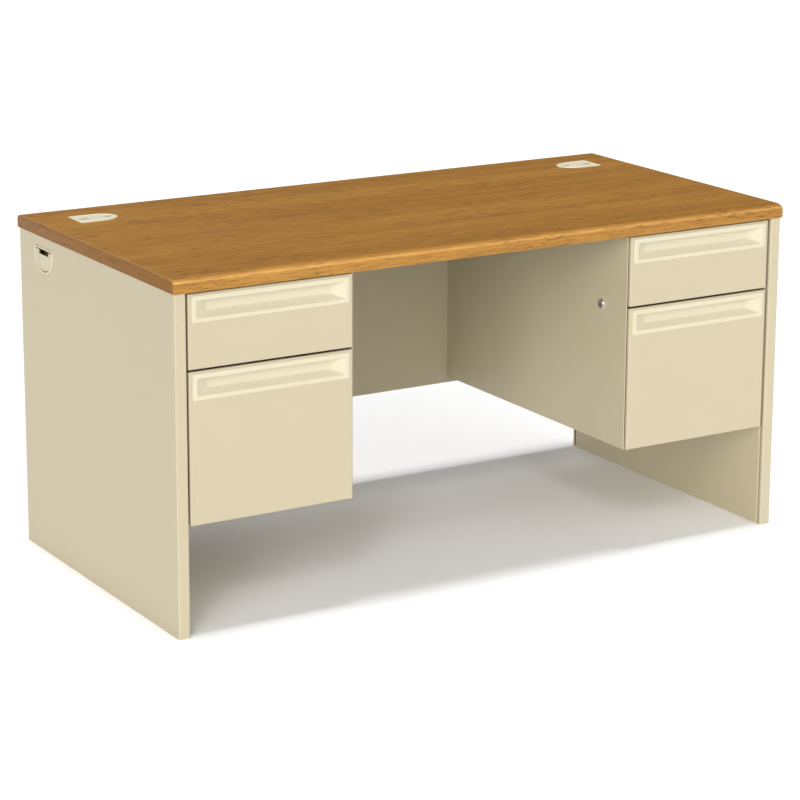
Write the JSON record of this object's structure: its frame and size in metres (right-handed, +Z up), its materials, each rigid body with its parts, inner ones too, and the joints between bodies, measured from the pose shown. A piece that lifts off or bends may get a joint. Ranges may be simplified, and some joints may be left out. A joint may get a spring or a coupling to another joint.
{
  "type": "teacher desk",
  "caption": "Double-pedestal steel teacher desk with a laminated wood-grain top, box and file drawers with recessed pulls, locks, cable grommets and a modesty panel.",
  "frame": {"origin": "on the floor under the middle of the desk", "axes": "+X to the right of someone sitting at the desk, along its length; +Y from the drawer side to the back; +Z up"},
  "size_m": [1.524, 0.762, 0.7508],
  "materials": {
    "wood_top": "golden oak laminate, satin",
    "wood_edge": "oak edge band, satin",
    "putty_paint": "putty baked enamel, fine orange peel",
    "cream_plastic": "moulded, satin",
    "grommet_plastic": "moulded, satin",
    "chrome": "polished",
    "zinc_steel": "zinc plated"
  },
  "bodies": {
    "desk": {"edge_band_left": "wood_edge", "edge_band_right": "wood_edge", "end_panel_stiffeners": "zinc_steel", "foot_brackets": "zinc_steel", "frame_bolts": "zinc_steel", "frame_nuts": "zinc_steel", "left_box_slide_outer": "zinc_steel", "left_end_liner": "putty_paint", "left_end_panel": "putty_paint", "left_file_slide_outer": "zinc_steel", "left_lock_housing": "chrome", "left_pedestal_case": "putty_paint", "lock_nuts": "zinc_steel", "modesty_liner": "putty_paint", "modesty_panel": "putty_paint", "pedestal_screws": "zinc_steel", "right_box_slide_outer": "zinc_steel", "right_end_liner": "putty_paint", "right_end_panel": "putty_paint", "right_file_slide_outer": "zinc_steel", "right_lock_housing": "chrome", "right_pedestal_case": "putty_paint", "side_grommet_cover_left": "grommet_plastic", "side_grommet_cover_right": "grommet_plastic", "side_grommet_left": "grommet_plastic", "side_grommet_right": "grommet_plastic", "top_fixing_screws": "zinc_steel", "top_grommet_left": "grommet_plastic", "top_grommet_right": "grommet_plastic", "worktop": "wood_top"},
    "left_box_drawer": {"left_box_front": "putty_paint", "left_box_pull": "cream_plastic", "left_box_body": "putty_paint", "left_box_slide_inner": "zinc_steel"},
    "left_file_drawer": {"left_file_front": "putty_paint", "left_file_pull": "cream_plastic", "left_file_body": "putty_paint", "left_file_slide_inner": "zinc_steel", "left_file_hanging_rails": "zinc_steel"},
    "left_file_middle_slides": {"left_file_slide_middle": "zinc_steel"},
    "left_lock_plug": {"left_lock_plug": "chrome"},
    "left_lock_bar": {"left_lock_bar": "zinc_steel"},
    "left_top_grommet_cap": {"top_grommet_cap_left": "grommet_plastic"},
    "front_left_glide": {"glide_front_left": "zinc_steel"},
    "rear_left_glide": {"glide_rear_left": "zinc_steel"},
    "right_box_drawer": {"right_box_front": "putty_paint", "right_box_pull": "cream_plastic", "right_box_body": "putty_paint", "right_box_slide_inner": "zinc_steel"},
    "right_file_drawer": {"right_file_front": "putty_paint", "right_file_pull": "cream_plastic", "right_file_body": "putty_paint", "right_file_slide_inner": "zinc_steel", "right_file_hanging_rails": "zinc_steel"},
    "right_file_middle_slides": {"right_file_slide_middle": "zinc_steel"},
    "right_lock_plug": {"right_lock_plug": "chrome"},
    "right_lock_bar": {"right_lock_bar": "zinc_steel"},
    "right_top_grommet_cap": {"top_grommet_cap_right": "grommet_plastic"},
    "front_right_glide": {"glide_front_right": "zinc_steel"},
    "rear_right_glide": {"glide_rear_right": "zinc_steel"}
  },
  "joints": [
    {"name": "left_box_drawer_slide", "type": "slide", "parent": "desk", "child": "left_box_drawer", "axis": [0, -1, 0], "range_m": [0, 0.381]},
    {"name": "left_file_drawer_slide", "type": "slide", "parent": "desk", "child": "left_file_drawer", "axis": [0, -1, 0], "range_m": [0, 0.508]},
    {"name": "left_file_middle_slide", "type": "slide", "parent": "desk", "child": "left_file_middle_slides", "axis": [0, -1, 0], "range_m": [0, 0.254]},
    {"name": "left_lock_turn", "type": "hinge", "parent": "desk", "child": "left_lock_plug", "pos_m": [-0.346, -0.275, 0.549], "axis": [1, 0, 0], "range_deg": [0, 90]},
    {"name": "left_lock_bar_lift", "type": "slide", "parent": "desk", "child": "left_lock_bar", "axis": [0, 0, 1], "range_m": [0, 0.00989]},
    {"name": "left_grommet_cap_lift", "type": "slide", "parent": "desk", "child": "left_top_grommet_cap", "axis": [0, 0, 1], "range_m": [0, 0.02]},
    {"name": "front_left_glide_screw", "type": "slide", "parent": "desk", "child": "front_left_glide", "axis": [0, 0, -1], "range_m": [0, 0.019]},
    {"name": "rear_left_glide_screw", "type": "slide", "parent": "desk", "child": "rear_left_glide", "axis": [0, 0, -1], "range_m": [0, 0.019]},
    {"name": "right_box_drawer_slide", "type": "slide", "parent": "desk", "child": "right_box_drawer", "axis": [0, -1, 0], "range_m": [0, 0.381]},
    {"name": "right_file_drawer_slide", "type": "slide", "parent": "desk", "child": "right_file_drawer", "axis": [0, -1, 0], "range_m": [0, 0.508]},
    {"name": "right_file_middle_slide", "type": "slide", "parent": "desk", "child": "right_file_middle_slides", "axis": [0, -1, 0], "range_m": [0, 0.254]},
    {"name": "right_lock_turn", "type": "hinge", "parent": "desk", "child": "right_lock_plug", "pos_m": [0.346, -0.275, 0.549], "axis": [1, 0, 0], "range_deg": [0, 90]},
    {"name": "right_lock_bar_lift", "type": "slide", "parent": "desk", "child": "right_lock_bar", "axis": [0, 0, 1], "range_m": [0, 0.00989]},
    {"name": "right_grommet_cap_lift", "type": "slide", "parent": "desk", "child": "right_top_grommet_cap", "axis": [0, 0, 1], "range_m": [0, 0.02]},
    {"name": "front_right_glide_screw", "type": "slide", "parent": "desk", "child": "front_right_glide", "axis": [0, 0, -1], "range_m": [0, 0.019]},
    {"name": "rear_right_glide_screw", "type": "slide", "parent": "desk", "child": "rear_right_glide", "axis": [0, 0, -1], "range_m": [0, 0.019]}
  ],
  "couplings": [
    {"joint": "left_file_middle_slide", "follows": "left_file_drawer_slide", "ratio": 0.5},
    {"joint": "left_lock_turn", "follows": "left_lock_bar_lift", "rad_per_m": 158.73},
    {"joint": "right_file_middle_slide", "follows": "right_file_drawer_slide", "ratio": 0.5},
    {"joint": "right_lock_turn", "follows": "right_lock_bar_lift", "rad_per_m": 158.73}
  ]
}
